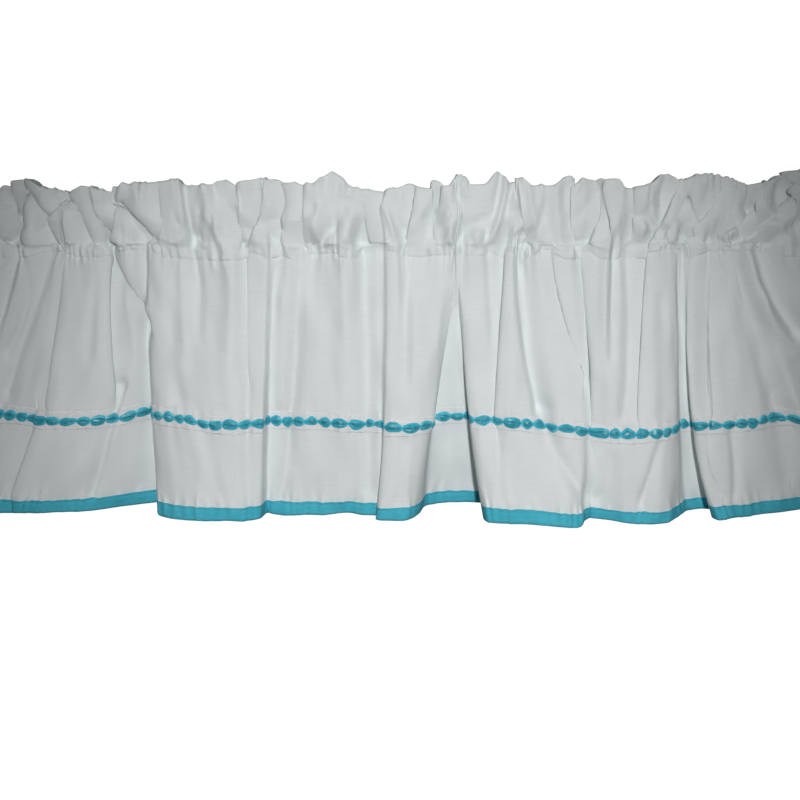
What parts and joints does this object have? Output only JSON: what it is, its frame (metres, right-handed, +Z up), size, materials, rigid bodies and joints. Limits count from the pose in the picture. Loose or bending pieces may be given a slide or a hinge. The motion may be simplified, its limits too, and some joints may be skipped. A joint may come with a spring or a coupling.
{
  "type": "window valance",
  "caption": "Short gathered window valance of plain white cloth with a rod pocket, a ribbon threaded through lace and a bound turquoise hem.",
  "frame": {"origin": "middle of the top of the rod pocket, over the middle of the rod", "axes": "+X across the window, along the rod; +Y away from the room, towards the window; +Z up"},
  "size_m": [1.0757, 0.0902, 0.3474],
  "materials": {
    "white_cloth": "plain weave, matt",
    "white_lace": "cotton lace, matt",
    "turquoise_satin": "satin ribbon",
    "turquoise_tape": "plain weave tape, matt"
  },
  "bodies": {
    "root": {"heading": "white_cloth", "skirt": "white_cloth", "beading_lace": "white_lace", "ribbon": "turquoise_satin", "hem_binding": "turquoise_tape"}
  },
  "joints": []
}
